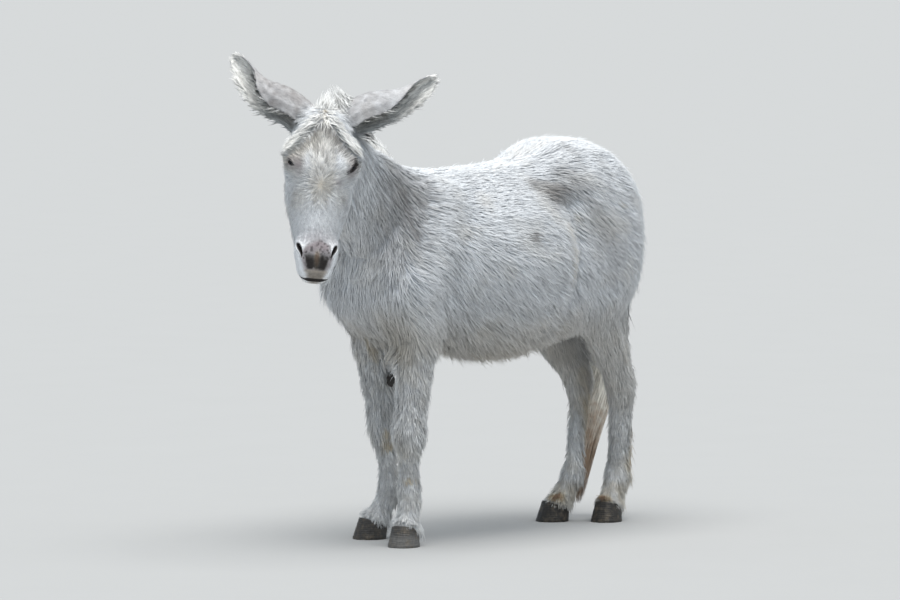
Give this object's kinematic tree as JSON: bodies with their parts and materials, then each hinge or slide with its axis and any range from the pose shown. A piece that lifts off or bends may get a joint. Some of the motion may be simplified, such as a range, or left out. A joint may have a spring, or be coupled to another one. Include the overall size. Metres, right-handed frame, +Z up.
{
  "type": "donkey",
  "caption": "Standing white long-haired donkey at life size, head turned to its left, ears out sideways; a still museum-style model that rests on its hooves.",
  "frame": {"origin": "on the floor, under the middle of the whole model's box", "axes": "+Z up, the donkey's body faces -Y, its left side is +X"},
  "size_m": [0.5132, 1.6222, 1.4367],
  "materials": {
    "coat": "long soft shaggy white hair, cool grey in its depths, with taupe and grey stains",
    "face_coat": "short soft white hair with cream tints, mauve-grey skin at the muzzle",
    "long_hair": "upright cream-white hair of mane, forelock and tail dock",
    "tail_hair": "matted rusty brown tail hair",
    "hoof": "worn grey-brown horn with fine growth rings",
    "eye": "dark, wet and glossy",
    "chestnut": "dry black callus, rough"
  },
  "bodies": {
    "root": {"chestnut_left": "chestnut", "chestnut_right": "chestnut", "ear_left": "coat", "ear_right": "coat", "eye_left": "eye", "eye_right": "eye", "foreleg_left_cannon": "coat", "foreleg_left_forearm": "coat", "foreleg_left_hoof": "hoof", "foreleg_left_pastern": "coat", "foreleg_right_cannon": "coat", "foreleg_right_forearm": "coat", "foreleg_right_hoof": "hoof", "foreleg_right_pastern": "coat", "forelock": "long_hair", "head": "face_coat", "hindleg_left_cannon": "coat", "hindleg_left_hoof": "hoof", "hindleg_left_pastern": "coat", "hindleg_left_thigh": "coat", "hindleg_right_cannon": "coat", "hindleg_right_hoof": "hoof", "hindleg_right_pastern": "coat", "hindleg_right_thigh": "coat", "mane": "long_hair", "neck": "coat", "tail_dock": "long_hair", "tail_switch": "tail_hair", "trunk": "coat"}
  },
  "joints": []
}
